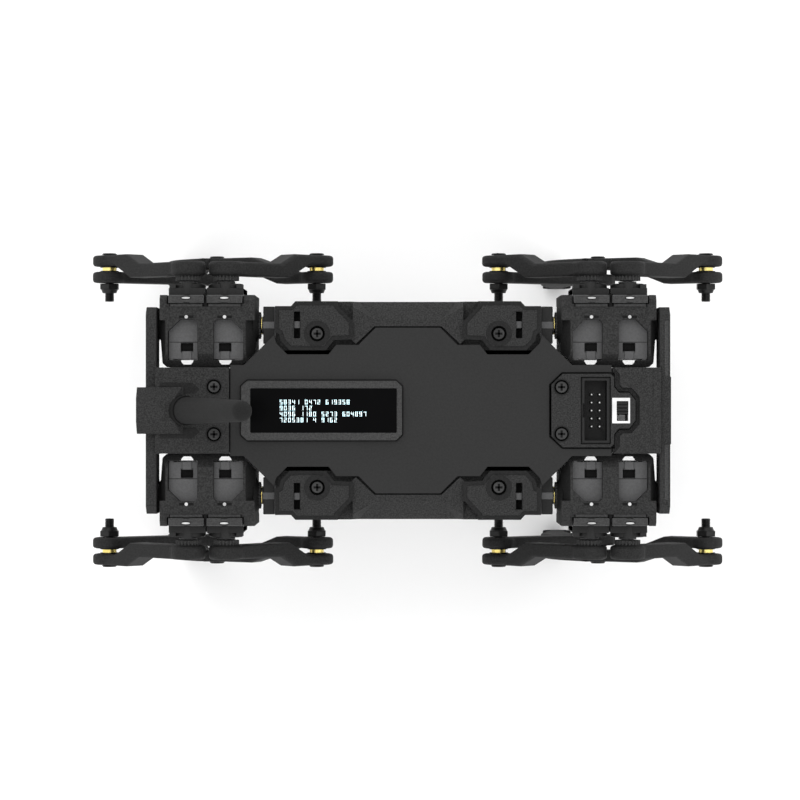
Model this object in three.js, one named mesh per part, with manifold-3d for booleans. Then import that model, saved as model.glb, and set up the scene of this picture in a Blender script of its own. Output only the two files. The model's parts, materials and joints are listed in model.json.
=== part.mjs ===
// A small twelve-servo walking robot with five-bar linkage legs.
// Millimetres, +X forward, +Y left, +Z up. The origin is on the floor, below the middle of the body.
// Shapes are first written with z counted from the hip axis; every mesh is then lifted by HIP_HEIGHT.
import * as THREE from 'three';
import { mergeVertices } from 'three/addons/utils/BufferGeometryUtils.js';
import { ConvexGeometry } from 'three/addons/geometries/ConvexGeometry.js';
import Module from 'manifold-3d';

const wasm = await Module();
wasm.setup();

// ---- driving dimensions ----
const GAP = 0.3; // clearance between pieces that rest on each other
const HIP_HEIGHT = 96; // hip and servo shafts above the floor at rest
const LEG_X = 64.57; // middle of each leg, from the robot's middle
const ROLL_Y = 27.3; // roll axis of each hip
const SHAFT_PITCH = 12.2; // between the two servo shafts of a leg
const CRANK = 40; // shaft to knee
const LINK = 40; // knee to the pivot where both links meet
const REST_ANGLE = 45; // crank below horizontal at rest, degrees
const TOE = [-11.7, -91.4]; // middle of the toe's round end, from the leg's middle
const CIRCLE = 16; // sides of a round piece
const CURVE_STEPS = 6; // straight steps along each curved edge

// layers of the linkage, as distances from the robot's middle plane
const OUTER_PLATE = [47.6, 51.2];
const INNER_PLATE = [42.2, 45.8];
const CRANK_MIDDLE = [43.4, 47.9];
const CALF = [42.8, 51.2];
const HUB_INNER = 41.6;
const BOLT_HEAD = [51.5, 52];
const NUT = [38.8, 41.9];
const BOLT_END = 36;
const BOLT_RADIUS = 1.45;
const BOLT_HOLE = 1.75;
const LOOP_HOLE = 2.9; // the coupler's eye at the shared pivot, where the loop is opened

// servo case: width, and along its length from the shaft
const SERVO = { half: 5.85, end: 5.9, tail: -16.9, ear: 4.7, earHalf: 5.6, depth: 22.5 };

// body
const BODY = { halfLength: 42.3, halfWidth: 34.75, bottom: -22, shelf: 8.2, pod: 11.5, flank: 10.6 };
const NECK = { half: 10, topHalf: 11.8, rimHalf: 13.5, bottom: -16, end: 79.6 };
const BAY = { x: 40.6, y: 19.2, floor: -20 };
const PLATE = { bottom: 8.5, top: 10.6 };
const PIVOT_PIN = 1.8;
const PIVOT_BORE = 2.1;
const END_PLATE = { inner: 80.2, outer: 83.5, half: 33, bottom: -9, top: 10 };

// ---- helpers ----
function toSolid(geometry) {
  const bare = geometry.clone();
  bare.deleteAttribute('normal');
  bare.deleteAttribute('uv');
  const merged = mergeVertices(bare, 1e-4);
  return new wasm.Manifold(new wasm.Mesh({
    numProp: 3,
    vertProperties: Float32Array.from(merged.attributes.position.array),
    triVerts: Uint32Array.from(merged.index.array),
  }));
}

function toGeometry(solid) {
  const mesh = solid.getMesh();
  const geometry = new THREE.BufferGeometry();
  geometry.setAttribute('position', new THREE.BufferAttribute(mesh.vertProperties.slice(), 3));
  geometry.setIndex(new THREE.BufferAttribute(mesh.triVerts.slice(), 1));
  geometry.computeVertexNormals();
  return geometry;
}

const AXES = {
  x: [new THREE.Vector3(0, 1, 0), new THREE.Vector3(0, 0, 1), new THREE.Vector3(1, 0, 0)],
  y: [new THREE.Vector3(1, 0, 0), new THREE.Vector3(0, 0, 1), new THREE.Vector3(0, -1, 0)],
  z: [new THREE.Vector3(1, 0, 0), new THREE.Vector3(0, 1, 0), new THREE.Vector3(0, 0, 1)],
};

function asShape(outline) {
  return outline instanceof THREE.Shape ? outline : new THREE.Shape(outline.map(([a, b]) => new THREE.Vector2(a, b)));
}

// A prism along a row axis: outlines are (y, z) along x, (x, z) along y and (x, y) along z.
function prism(axis, outline, [from, to]) {
  const options = { depth: to - from, bevelEnabled: false, curveSegments: CURVE_STEPS };
  const geometry = new THREE.ExtrudeGeometry(asShape(outline), options);
  geometry.applyMatrix4(new THREE.Matrix4().makeBasis(...AXES[axis]));
  const shift = { x: [from, 0, 0], y: [0, to, 0], z: [0, 0, from] }[axis];
  geometry.translate(...shift);
  return toSolid(geometry);
}

function block([x0, x1], [y0, y1], [z0, z1]) {
  const geometry = new THREE.BoxGeometry(x1 - x0, y1 - y0, z1 - z0);
  geometry.translate((x0 + x1) / 2, (y0 + y1) / 2, (z0 + z1) / 2);
  return toSolid(geometry);
}

// A round rod along a row axis through a point given as (y, z), (x, z) or (x, y).
function rod(axis, [a, b], [from, to], radius, endRadius = radius, sides = CIRCLE) {
  const geometry = new THREE.CylinderGeometry(endRadius, radius, to - from, sides);
  if (axis === 'x') geometry.rotateZ(-Math.PI / 2).translate((from + to) / 2, a, b);
  if (axis === 'y') geometry.translate(a, (from + to) / 2, b);
  if (axis === 'z') geometry.rotateX(Math.PI / 2).translate(a, b, (from + to) / 2);
  return toSolid(geometry);
}

function hull(points) {
  return toSolid(new ConvexGeometry(points.map((p) => new THREE.Vector3(...p))));
}

const join = (first, ...rest) => rest.reduce((sum, next) => sum.add(next), first);
const cut = (first, ...rest) => rest.reduce((left, next) => left.subtract(next), first);
const bothSigns = [1, -1];

// The same solid on the other side of the middle plane across x, y or both.
function mirrored(geometry, signX, signY) {
  const copy = geometry.clone().scale(signX, signY, 1);
  if (signX * signY < 0) {
    const index = copy.index.array;
    for (let i = 0; i < index.length; i += 3) {
      [index[i], index[i + 1]] = [index[i + 1], index[i]];
    }
  }
  copy.computeVertexNormals();
  return copy;
}

// A mirrored outline: the half with y >= 0 is given from its first x to its last.
function symmetric(half) {
  const other = half.filter(([, y]) => y > 0).map(([x, y]) => [x, -y]).reverse();
  return [...half, ...other];
}

// ---- materials ----
const paint = (color, roughness, metalness = 0) => new THREE.MeshStandardMaterial({ color, roughness, metalness });
const nylon = paint(0x3d3d3d, 0.9);
const smoothPlastic = paint(0x2f2f2f, 0.6);
const servoPlastic = paint(0x565656, 0.5);
const blackSteel = paint(0x242424, 0.4, 0.8);
const rubber = paint(0x1b1b1b, 0.95);
const glass = paint(0x050505, 0.1);
const board = paint(0x101c14, 0.6);
const cellWrap = paint(0x284a6b, 0.5);
const blackPlastic = paint(0x181818, 0.7);
const greyPlastic = paint(0x8a8a8a, 0.5);

const robot = new THREE.Group();

function place(parent, name, geometry, material, [x, y, z] = [0, 0, 0], turn = 0) {
  const mesh = new THREE.Mesh(geometry, material);
  mesh.name = name;
  mesh.position.set(x, y, z);
  mesh.rotation.y = turn;
  parent.add(mesh);
}

// ---- chassis: tray with four servo pods and two necks ----
const POD_OUTLINE = [
  [42.3, 33.2], [37.2, 33.2], [35.8, 34.75], [22.3, 34.75], [22.3, 33.3], [17.5, 28.3], [17.5, 22.7],
  [23.6, 22.4], [26.1, 19.2], [37.7, 19.2], [40.4, 22.1], [41, 24.3], [42.3, 24.8],
];

function chassisSolid() {
  const tray = prism('z', symmetric([
    [42.3, 0], [42.3, 33.2], [37.2, 33.2], [35.8, 34.75],
    [-35.8, 34.75], [-37.2, 33.2], [-42.3, 33.2], [-42.3, 0],
  ]), [BODY.bottom, BODY.shelf]);
  const neck = block([-NECK.end, NECK.end], [-NECK.half, NECK.half], [NECK.bottom, BODY.shelf]);
  const neckTop = block([-NECK.end, NECK.end], [-NECK.topHalf, NECK.topHalf], [1, BODY.shelf]);
  const neckRim = block([-NECK.end, NECK.end], [-NECK.rimHalf, NECK.rimHalf], [6, BODY.shelf]);
  let body = join(tray, neck, neckTop, neckRim);
  for (const y of bothSigns) {
    // the flank stands beside the top plate, between two pods
    const flank = [[17.6, 26.8], [17.6, 34.75], [-17.6, 34.75], [-17.6, 26.8]].map((p) => [p[0], y * p[1]]);
    body = body.add(prism('z', flank, [BODY.shelf - 1, BODY.flank]));
    for (const x of bothSigns) {
      const shoulder = [[18, 28.9], [18, 22.5], [16.6, 21.2], [10.6, 26.9], [10.6, 28.9]];
      body = body.add(prism('z', shoulder.map((p) => [x * p[0], y * p[1]]), [BODY.shelf - 1, BODY.flank]));
      body = body.add(prism('z', POD_OUTLINE.map((p) => [x * p[0], y * p[1]]), [BODY.shelf - 1, BODY.pod]));
    }
  }
  // the bay for cells and board, and the wire channel of each neck, are open at the top
  const top = BODY.shelf + 0.5;
  body = body.subtract(block([-BAY.x, BAY.x], [-BAY.y, BAY.y], [BAY.floor, top]));
  body = body.subtract(block([-76, 76], [-8, 8], [-14, top]));
  body = body.subtract(block([54.8, 64.5], [-10.8, 10.8], [2.6, top]));
  for (const y of bothSigns) {
    const flat = 12.5;
    const wedge = [[10.5, 28.9, BODY.flank], [20.7, 34.9, BODY.flank], [15.7, 34.9, 5]];
    const above = [[10.5, 28.9, flat], [20.7, 34.9, flat], [10.5, 36, flat], [20.7, 36, flat], [15.7, 36, 4]];
    const points = [...wedge, ...above].flatMap(([px, py, pz]) => [[px, y * py, pz], [-px, y * py, pz]]);
    body = body.subtract(hull(points));
    // lower edges are chamfered, so a lifted and rolled knee passes
    const edge = [[y * 35, BODY.bottom - 1], [y * 35, BODY.bottom + 3.2], [y * 30.8, BODY.bottom - 1]];
    body = body.subtract(prism('x', edge, [-44, 44]));
    for (const x of bothSigns) body = body.subtract(servoPocket(x, y));
  }
  return body;
}

// The pocket of one hip servo, open at the outer end, with slots for its ears above and below.
function servoPocket(x, y) {
  const span = (a, b, sign) => (sign > 0 ? [a, b] : [-b, -a]);
  const acrossY = span(ROLL_Y - SERVO.half - GAP, ROLL_Y + SERVO.half + GAP, y);
  const caseRoom = block(span(23.4, 45, x), acrossY, [SERVO.tail - GAP, SERVO.end + GAP]);
  const ears = block(span(33.7, 36.7, x), acrossY, [SERVO.tail - SERVO.ear - GAP, SERVO.end + SERVO.ear + GAP]);
  const slot = block(span(34.3, 36.3, x), span(23, 31.5, y), [-30, 20]);
  const screw = rod('z', [x * 28.9, y * 24.45], [9.6, 13], 2.5);
  return join(caseRoom, ears, slot, screw);
}

// ---- top plate, end pieces and covers ----
function topPlateSolid() {
  const half = [
    [64.8, 0], [64.8, 14.5], [52.2, 14.5], [42.6, 24.1], [41.9, 21.5], [38.4, 17.9], [25.3, 17.9],
    [22.9, 21], [15.8, 20.9], [10.3, 26.4],
  ];
  const rear = half.slice(2).reverse().map(([x, y]) => [-x, y]);
  const plate = prism('z', symmetric([...half, ...rear, [-56.6, 14.5], [-56.6, 0]]), [PLATE.bottom, PLATE.top]);
  const displayWell = block([-49.6, -4.4], [-8, 8], [0, 20]);
  const displayRebate = prism('z', symmetric([
    [-53.4, 0], [-53.4, 7.8], [-51.3, 9.75], [-3.7, 9.75], [-1.6, 7.8], [-1.6, 0],
  ]), [PLATE.top - GAP, 20]);
  const connectorWell = prism('z', symmetric([
    [70, 0], [70, 12.1], [49, 12.1], [45, 8.4], [45, 0],
  ]), [0, 20]);
  return cut(plate, displayWell, displayRebate, connectorWell);
}

// End plate that carries the outer pivots of two hip frames, with the bores for their pins.
function endPlate(x) {
  const { half, bottom, top, inner, outer } = END_PLATE;
  // deep round the two bores and behind the neck, shallow between them
  const halfOutline = [
    [0, bottom], [10, bottom], [12.5, -2.5], [22, -2.5], [24, -6], [half - 3, -6], [half, -3],
    [half, top - 3], [half - 2.4, top], [0, top],
  ];
  const outline = [...halfOutline, ...halfOutline.slice(1, -1).map(([y, z]) => [-y, z]).reverse()];
  const plate = prism('x', outline, x > 0 ? [inner, outer] : [-outer, -inner]);
  const bores = bothSigns.map((y) => rod('x', [y * ROLL_Y, 0], x > 0 ? [70, 82.8] : [-82.8, -70], PIVOT_BORE));
  return cut(plate, ...bores);
}

const DECK = { half: 13.7, bottom: 8.5, top: 11.5 };

function rearEndPieceSolid() {
  const deck = prism('z', symmetric([
    [-56.9, 0], [-56.9, 13.7], [-78, 13.7], [-80.4, 13.7], [-80.4, 0],
  ]), [DECK.bottom, DECK.top]);
  const root = block([-80.4, -79.9], [-NECK.half, NECK.half], [NECK.bottom, DECK.bottom + 1]);
  // the aerial's block: three facets along x, leaning back at its rear end
  const blockSection = [[-7.4, 9], [7.4, 9], [7.4, 12.4], [3.9, 15.6], [-3.9, 15.6], [-7.4, 12.4]];
  const aerialBlock = prism('x', blockSection, [-86.1, -69.3]);
  const leaning = prism('y', [[-71.5, DECK.top], [-69, DECK.top], [-69, 16.5], [-74.4, 16.5]], [-9, 9]);
  const bore = tilted(aerialRod(AERIAL.baseRadius + 0.35, AERIAL.baseRadius + 0.35, -1, 20));
  const seats = screwSeats([[-61.7, 7.55], [-61.7, -7.55]], DECK.top);
  return cut(join(endPlate(-1), deck, root, aerialBlock), leaning, bore, ...seats);
}

function screwSeats(points, top) {
  return points.map((point) => rod('z', point, [top - 1.2, top + 3], 2.35));
}

const GROOVE_FLOOR = 10; // of the groove round the connector cover

function frontEndPieceSolid() {
  const deck = prism('z', symmetric([
    [65.1, 0], [65.1, 13.7], [80.4, 13.7], [80.4, 0],
  ]), [DECK.bottom, DECK.top]);
  const root = block([79.9, 80.4], [-NECK.half, NECK.half], [NECK.bottom, DECK.bottom + 1]);
  const nose = block([83, 83.9], [-10.8, 10.8], [-6, 8.5]);
  const well = prism('z', symmetric([
    [60, 0], [60, 12.1], [65.8, 12.1], [65.8, 7.7], [67.2, 6], [70.4, 6], [72.6, 3.3], [72.6, 0],
  ]), [0, 20]);
  const groove = prism('z', symmetric([
    [60, 0], [60, 14], [65.1, 14], [67.3, 11.4], [67.3, 8.2], [68.2, 7.2], [71.1, 7.2], [73.6, 4.3], [73.6, 0],
  ]), [GROOVE_FLOOR, 20]);
  return cut(join(endPlate(1), deck, root, nose), well, groove);
}

function connectorCoverSolid() {
  const plate = prism('z', symmetric([
    [45.6, 0], [45.6, 8.2], [49.2, 11.7], [64.4, 11.7], [65.5, 10.6], [65.5, 7.5], [67, 5.7],
    [70.3, 5.7], [72.3, 3.2], [72.3, 0],
  ]), [PLATE.bottom, DECK.top + 0.3]);
  const header = block([54.9, 64.4], [-10.7, 10.7], [0, 20]);
  const switchWindow = block([65.4, 70.6], [-4.1, 4.1], [0, 20]);
  return cut(plate, header, switchWindow, ...screwSeats([[48.8, 7.45], [48.8, -7.45]], DECK.top + 0.3));
}

// Box header: an open shroud with ten square pins.
function headerSolid() {
  const centre = 59.65;
  const shroud = block([55.2, 64.1], [-10.4, 10.4], [3, DECK.top]);
  const inside = block([56.1, 63.2], [-9.5, 9.5], [5, 20]);
  const key = block([55, 56.5], [-2.2, 2.2], [6.5, 20]);
  let header = cut(shroud, inside, key);
  for (const x of bothSigns) {
    for (let i = -2; i <= 2; i += 1) {
      const px = centre + x * 1.27;
      const py = i * 2.54;
      header = header.add(block([px - 0.32, px + 0.32], [py - 0.32, py + 0.32], [4.5, 10.8]));
    }
  }
  return header;
}

const SWITCH = { x: [65.8, 70.3], y: [-6, 6], bottom: 3, top: 8.1, slot: 4.05 };

function switchBodySolid() {
  const can = block(SWITCH.x, SWITCH.y, [SWITCH.bottom, SWITCH.top]);
  const slot = block([66.6, 69.5], [-SWITCH.slot, SWITCH.slot], [6, 20]);
  return can.subtract(slot);
}

// The slider's thumb piece stands in the cover's window; it travels towards -y.
function switchSliderSolid() {
  const foot = block([66.9, 69.2], [-1.4, 3.7], [6.3, 9]);
  const thumb = block([66.4, 69.8], [-1.1, 2.7], [8.5, 12]);
  const grooves = [0, 1, 2].map((i) => block([66, 70.2], [-0.5 + i * 1.1, -0.1 + i * 1.1], [11.5, 13]));
  return cut(join(foot, thumb), ...grooves);
}

function displaySolid() {
  const bezel = prism('z', symmetric([
    [-53.1, 0], [-53.1, 7.6], [-51.2, 9.45], [-3.8, 9.45], [-1.9, 7.6], [-1.9, 0],
  ]), [PLATE.top, 12.6]);
  const lens = block([-50.2, -3.5], [-7.15, 7.15], [12, 20]);
  const stem = block([-49.3, -4.7], [-7.7, 7.7], [7.4, PLATE.top + 1]);
  return cut(join(bezel, stem), lens);
}

function boardSolid() {
  const sheet = block([-39, 39], [-17, 17], [3.6, 5.2]);
  const chips = [
    block([-34, -16], [-12, 6], [5, 7]), block([4, 12], [-6, 2], [5, 6.6]),
    block([18, 34], [8, 14], [5, 7.6]), block([18, 34], [-14, -8], [5, 7.6]),
  ];
  return join(sheet, ...chips);
}

function batterySolid() {
  const cells = bothSigns.map((y) => rod('x', [y * 9.15, -10.3], [-32.6, 32.6], 9.25, 9.25, 24));
  const strip = block([-20, 20], [-6, 6], [-4.2, -1.4]);
  return join(...cells, strip);
}

// ---- aerial: a tapered rubber rod that leans forward out of its block ----
const AERIAL = { base: [-72.6, 11.5], lean: 62, baseRadius: 4.4, tipRadius: 3.3, length: 50 };

function aerialRod(r0, r1, from, to) {
  const profile = [[0, from], [r0, from], [r1, to], [0, to]].map(([r, z]) => new THREE.Vector2(r, z));
  return new THREE.LatheGeometry(profile, CIRCLE);
}

// The aerial's own +y axis leans from straight up towards +x.
function tilted(geometry) {
  geometry.rotateX(Math.PI / 2).rotateY(THREE.MathUtils.degToRad(90 - AERIAL.lean));
  geometry.translate(AERIAL.base[0], 0, AERIAL.base[1]);
  return toSolid(geometry);
}

function aerialSolid() {
  const { baseRadius, tipRadius, length } = AERIAL;
  const profile = [new THREE.Vector2(0, 0), new THREE.Vector2(baseRadius, 0)];
  for (let i = 0; i <= 5; i += 1) {
    const angle = (i / 5) * Math.PI / 2;
    profile.push(new THREE.Vector2(tipRadius * Math.cos(angle), length - tipRadius * (1 - Math.sin(angle))));
  }
  return tilted(new THREE.LatheGeometry(profile, CIRCLE));
}

// ---- servos ----
// A leg servo of the +y side, with its shaft at x = 0: the case lies along y with its shaft end outward.
function legServoSolid() {
  const { half, end, tail, ear, earHalf, depth } = SERVO;
  const base = 16.4;
  const servoCase = block([-half, half], [base, base + depth], [tail, end]);
  const ears = block([-earHalf, earHalf], [34.3, 36.7], [tail - ear, end + ear]);
  const boss = rod('y', [0, 0], [base + depth - 1, 40.8], 2.9);
  const shaft = rod('y', [0, 0], [40, 41.3], 2.3);
  const notch = block([-2, 2], [base + 2.2, 21.6], [end - 1.6, end + 1]);
  const screwSlots = bothSigns.map((z) => {
    const middle = (end + tail) / 2;
    const far = middle + z * ((end - tail) / 2 + ear);
    return block([-1, 1], [30, 40], z > 0 ? [far - 2.6, far + 1] : [far - 1, far + 2.6]);
  });
  return cut(join(servoCase, ears, boss, shaft), notch, ...screwSlots);
}

// A hip servo of the +x +y corner: its shaft points outward along x.
const EAR_TOP = 8; // below the pod's top, so the slot above it stays open round the tab
function hipServoSolid() {
  const { half, end, tail, ear, earHalf, depth } = SERVO;
  const face = 46.2;
  const servoCase = block([face - depth, face], [ROLL_Y - half, ROLL_Y + half], [tail, end]);
  const ears = block([34, 36.4], [ROLL_Y - earHalf, ROLL_Y + earHalf], [tail - ear, EAR_TOP]);
  const tab = block([34.4, 36.2], [ROLL_Y - 1.1, ROLL_Y + 1.1], [EAR_TOP - 1, end + ear]);
  const boss = rod('x', [ROLL_Y, 0], [face - 0.5, 46.9], 2.9);
  const recesses = bothSigns.map((y) => {
    const inner = ROLL_Y + y * 1.2;
    const outer = ROLL_Y + y * (half + 1);
    return block([43.2, 44.6], [Math.min(inner, outer), Math.max(inner, outer)], [end - 1, end + 1]);
  });
  return cut(join(servoCase, ears, tab, boss), ...recesses);
}

// ---- hip frame: cradle of two leg servos, turning about the roll axis ----
const FRAME = { inner: -15.67, outer: 14.63, wallInner: -12.3, wallOuter: 12.3, top: 9, bottom: -19.5 };

// Shapes of the +x +y corner, x from the leg's middle.
function hipFrameSolid() {
  const side = [
    [13.9, -11], [17.5, FRAME.bottom], [34, FRAME.bottom], [34, -21.3], [36.9, -21.3], [36.9, 7.4],
    [35.3, FRAME.top], [18, FRAME.top], [13.9, 5.5],
  ];
  const plan = [
    [FRAME.inner, 18.8], [-10.8, 13.4], [12.1, 13.4], [13.85, 15.1],
    [FRAME.outer, 24], [FRAME.outer, 40], [FRAME.inner, 40],
  ];
  const cradle = prism('x', side, [FRAME.inner, FRAME.outer]).intersect(prism('z', plan, [-30, 20]));
  const inside = block([FRAME.wallInner, FRAME.wallOuter], [16.1, 40], [SERVO.tail - GAP, SERVO.end + GAP]);
  const earRoom = block([FRAME.wallInner, FRAME.wallOuter], [34, 40], [-30, 20]);
  const windows = bothSigns.flatMap((x) => [[4, 20], [-30, -15]].map((span) => {
    const outline = [[2.6, 16.1], [12, 16.1], [12, 25.2], [8.1, 29], [3.6, 29], [2.6, 28]];
    return prism('z', outline.map(([a, b]) => [x * a, b]), span);
  }));
  // the upper edges fall away beside the windows
  const slopes = [[[12.6, 9.3], [15.4, 9.3], [15.4, 4]], [[-12.6, 9.3], [-16.6, 9.3], [-16.6, 3]]];
  const facets = slopes.map((slope) => prism('y', slope, [12, 28.8]));
  // a small opening beyond each servo's closed end, right through the frame
  const vents = bothSigns.flatMap((x) => {
    const slit = [[4, 16.3], [8.2, 16.3], [8.2, 15.6], [7.4, 14.7], [4.8, 14.7], [4, 15.6]];
    const below = [[2.6, 16.3], [10.6, 16.3], [10.6, 14.7], [2.6, 14.7]];
    return [[slit, [-30, 20]], [below, [-30, 2]]].map(([outline, span]) => (
      prism('z', outline.map(([a, b]) => [x * a, b]), span)
    ));
  });
  const hornCone = rod('x', [ROLL_Y, 0], [-16.8, FRAME.inner + 0.5], 4.2, 6.4);
  const horn = rod('x', [ROLL_Y, 0], [-17.4, -15], 3.85);
  const boss = rod('x', [ROLL_Y, 0], [FRAME.outer - 0.5, 15.3], 6, 4.4);
  const pin = rod('x', [ROLL_Y, 0], [14, 17.8], PIVOT_PIN);
  return join(cut(cradle, inside, earRoom, ...windows, ...facets, ...vents), hornCone, horn, boss, pin);
}

// ---- linkage ----
const rad = THREE.MathUtils.degToRad;
const restReach = Math.cos(rad(REST_ANGLE)) * CRANK;
const KNEE = [SHAFT_PITCH / 2 + restReach, -Math.sin(rad(REST_ANGLE)) * CRANK];
const LINK_ANGLE = Math.acos(KNEE[0] / LINK); // links below horizontal at rest
const PIVOT = [0, KNEE[1] - Math.sin(LINK_ANGLE) * LINK];

// An arm along +x with a round end at each axis and a narrower middle.
function armOutline(length, startRadius, endRadius, half) {
  const startAngle = Math.asin(half / startRadius);
  const endAngle = Math.PI - Math.asin(half / endRadius);
  const shape = new THREE.Shape();
  shape.absarc(0, 0, startRadius, startAngle, 2 * Math.PI - startAngle, false);
  shape.absarc(length, 0, endRadius, -endAngle, endAngle, false);
  shape.closePath();
  return shape;
}

// A crank along +x from its shaft: it steps outward on its way to the knee.
function crankSolid() {
  const side = prism('y', armOutline(CRANK, 5.6, 5.5, 4.2), [40, 54]);
  const steps = prism('z', [
    [-8, CRANK_MIDDLE[0]], [CRANK - 15.2, CRANK_MIDDLE[0]], [CRANK - 7.6, OUTER_PLATE[0]],
    [CRANK + 8, OUTER_PLATE[0]], [CRANK + 8, OUTER_PLATE[1]], [CRANK - 13.1, OUTER_PLATE[1]],
    [CRANK - 19.5, CRANK_MIDDLE[1]], [-8, CRANK_MIDDLE[1]],
  ], [-10, 10]);
  const hub = rod('y', [0, 0], [HUB_INNER, CRANK_MIDDLE[0] + 1], 3.7);
  const screwWell = rod('y', [0, 0], [45.6, 60], 2.2);
  const hole = rod('y', [CRANK, 0], [40, 60], BOLT_HOLE);
  return cut(join(side.intersect(steps), hub), screwWell, hole);
}

function couplerSolid() {
  const arm = prism('y', armOutline(LINK, 5.5, 6, 3.8), INNER_PLATE);
  return cut(arm, rod('y', [0, 0], [40, 60], BOLT_HOLE), rod('y', [LINK, 0], [40, 60], LOOP_HOLE));
}

// A prism in axes of its own that start at the front knee.
function prismAtKnee(outline, [from, to], basis) {
  const options = { depth: to - from, bevelEnabled: false, curveSegments: CURVE_STEPS };
  const geometry = new THREE.ExtrudeGeometry(asShape(outline), options).translate(0, 0, from);
  geometry.applyMatrix4(new THREE.Matrix4().makeBasis(...basis));
  geometry.translate(KNEE[0], 0, KNEE[1]);
  return toSolid(geometry);
}

// The lower leg, in the leg's own axes at rest: from the front knee through the shared pivot to the toe.
function lowerLegSolid() {
  const toeRadius = 2.9;
  const calf = new THREE.Shape();
  calf.moveTo(PIVOT[0] - 3.1, PIVOT[1] + 5.1);
  calf.quadraticCurveTo(-13.5, -49.5, -17.2, -61);
  calf.quadraticCurveTo(-19.7, -69.5, -17, -78);
  calf.lineTo(TOE[0] - toeRadius, TOE[1]);
  calf.absarc(TOE[0], TOE[1], toeRadius, Math.PI, 2 * Math.PI, false);
  calf.quadraticCurveTo(-9, -74, -5.2, -66);
  calf.quadraticCurveTo(-1.5, -58.5, 5.2, -51.9);
  const along = new THREE.Vector3(-Math.cos(LINK_ANGLE), 0, -Math.sin(LINK_ANGLE));
  const below = new THREE.Vector3(Math.sin(LINK_ANGLE), 0, -Math.cos(LINK_ANGLE));
  const left = new THREE.Vector3(0, 1, 0);
  const right = new THREE.Vector3(0, -1, 0);
  const upper = prismAtKnee(armOutline(LINK, 5.5, 6, 3.8), [-54, -40], [along, below, right]);
  const side = join(prism('y', calf, [40, 54]), upper);
  const steps = prismAtKnee([
    [-7, INNER_PLATE[0]], [14, INNER_PLATE[0]], [28, 47.5], [50, 47.5], [56, CALF[0]], [90, CALF[0]],
    [90, CALF[1]], [24, CALF[1]], [7, INNER_PLATE[1]], [-7, INNER_PLATE[1]],
  ], [-60, 60], [along, left, below]);
  const holes = [KNEE, PIVOT].map((point) => rod('y', point, [40, 60], BOLT_HOLE));
  return cut(side.intersect(steps), ...holes);
}

// Rubber shoe around the toe, with a small flat to stand on.
function footPadSolid() {
  const radius = 4.85;
  const [x, z] = TOE;
  const outer = new THREE.Shape();
  outer.moveTo(x - radius, z + 4);
  outer.lineTo(x - radius, z);
  outer.absarc(x, z, radius, Math.PI, 2 * Math.PI, false);
  outer.lineTo(x + radius, z + 4);
  const inner = new THREE.Shape();
  inner.moveTo(x - 5.2, z + 9);
  inner.lineTo(x - 3.2, z);
  inner.absarc(x, z, 3.2, Math.PI, 2 * Math.PI, false);
  inner.lineTo(x + 3.6, z + 9);
  const pad = prism('y', outer, CALF).subtract(prism('y', inner, [40, 54]));
  return pad.subtract(block([x - 9, x + 9], [40, 54], [-HIP_HEIGHT - 5, -HIP_HEIGHT]));
}

// A bolt along y with a round head outside and a lock nut inside.
function boltSolid() {
  const head = rod('y', [0, 0], BOLT_HEAD, 2.55, 2.2);
  const shank = rod('y', [0, 0], [BOLT_END, BOLT_HEAD[0] + 0.2], BOLT_RADIUS, BOLT_RADIUS, 8);
  const nut = rod('y', [0, 0], [NUT[0] + 1.2, NUT[1]], 3.4, 3.4, 6);
  const collar = rod('y', [0, 0], [NUT[0], NUT[0] + 1.5], 2.3, 2.9, 12);
  return join(head, shank, nut, collar);
}

// ---- assembly ----
const upright = new THREE.Group();
upright.position.z = HIP_HEIGHT;
robot.add(upright);

place(upright, 'chassis', toGeometry(chassisSolid()), nylon);
place(upright, 'top_plate', toGeometry(topPlateSolid()), smoothPlastic);
place(upright, 'rear_end_piece', toGeometry(rearEndPieceSolid()), nylon);
place(upright, 'front_end_piece', toGeometry(frontEndPieceSolid()), nylon);
place(upright, 'connector_cover', toGeometry(connectorCoverSolid()), nylon);
place(upright, 'expansion_header', toGeometry(headerSolid()), blackPlastic);
place(upright, 'power_switch', toGeometry(switchBodySolid()), blackPlastic);
place(upright, 'switch_slider', toGeometry(switchSliderSolid()), greyPlastic);
place(upright, 'display_module', toGeometry(displaySolid()), glass);
place(upright, 'main_board', toGeometry(boardSolid()), board);
place(upright, 'battery_pack', toGeometry(batterySolid()), cellWrap);
place(upright, 'aerial', toGeometry(aerialSolid()), rubber);

const hipServo = toGeometry(hipServoSolid());
const hipFrame = toGeometry(hipFrameSolid());
const legServo = toGeometry(legServoSolid());
const crank = toGeometry(crankSolid());
const coupler = toGeometry(couplerSolid());
const lowerLeg = toGeometry(lowerLegSolid());
const footPad = toGeometry(footPadSolid());
const bolt = toGeometry(boltSolid());

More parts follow.
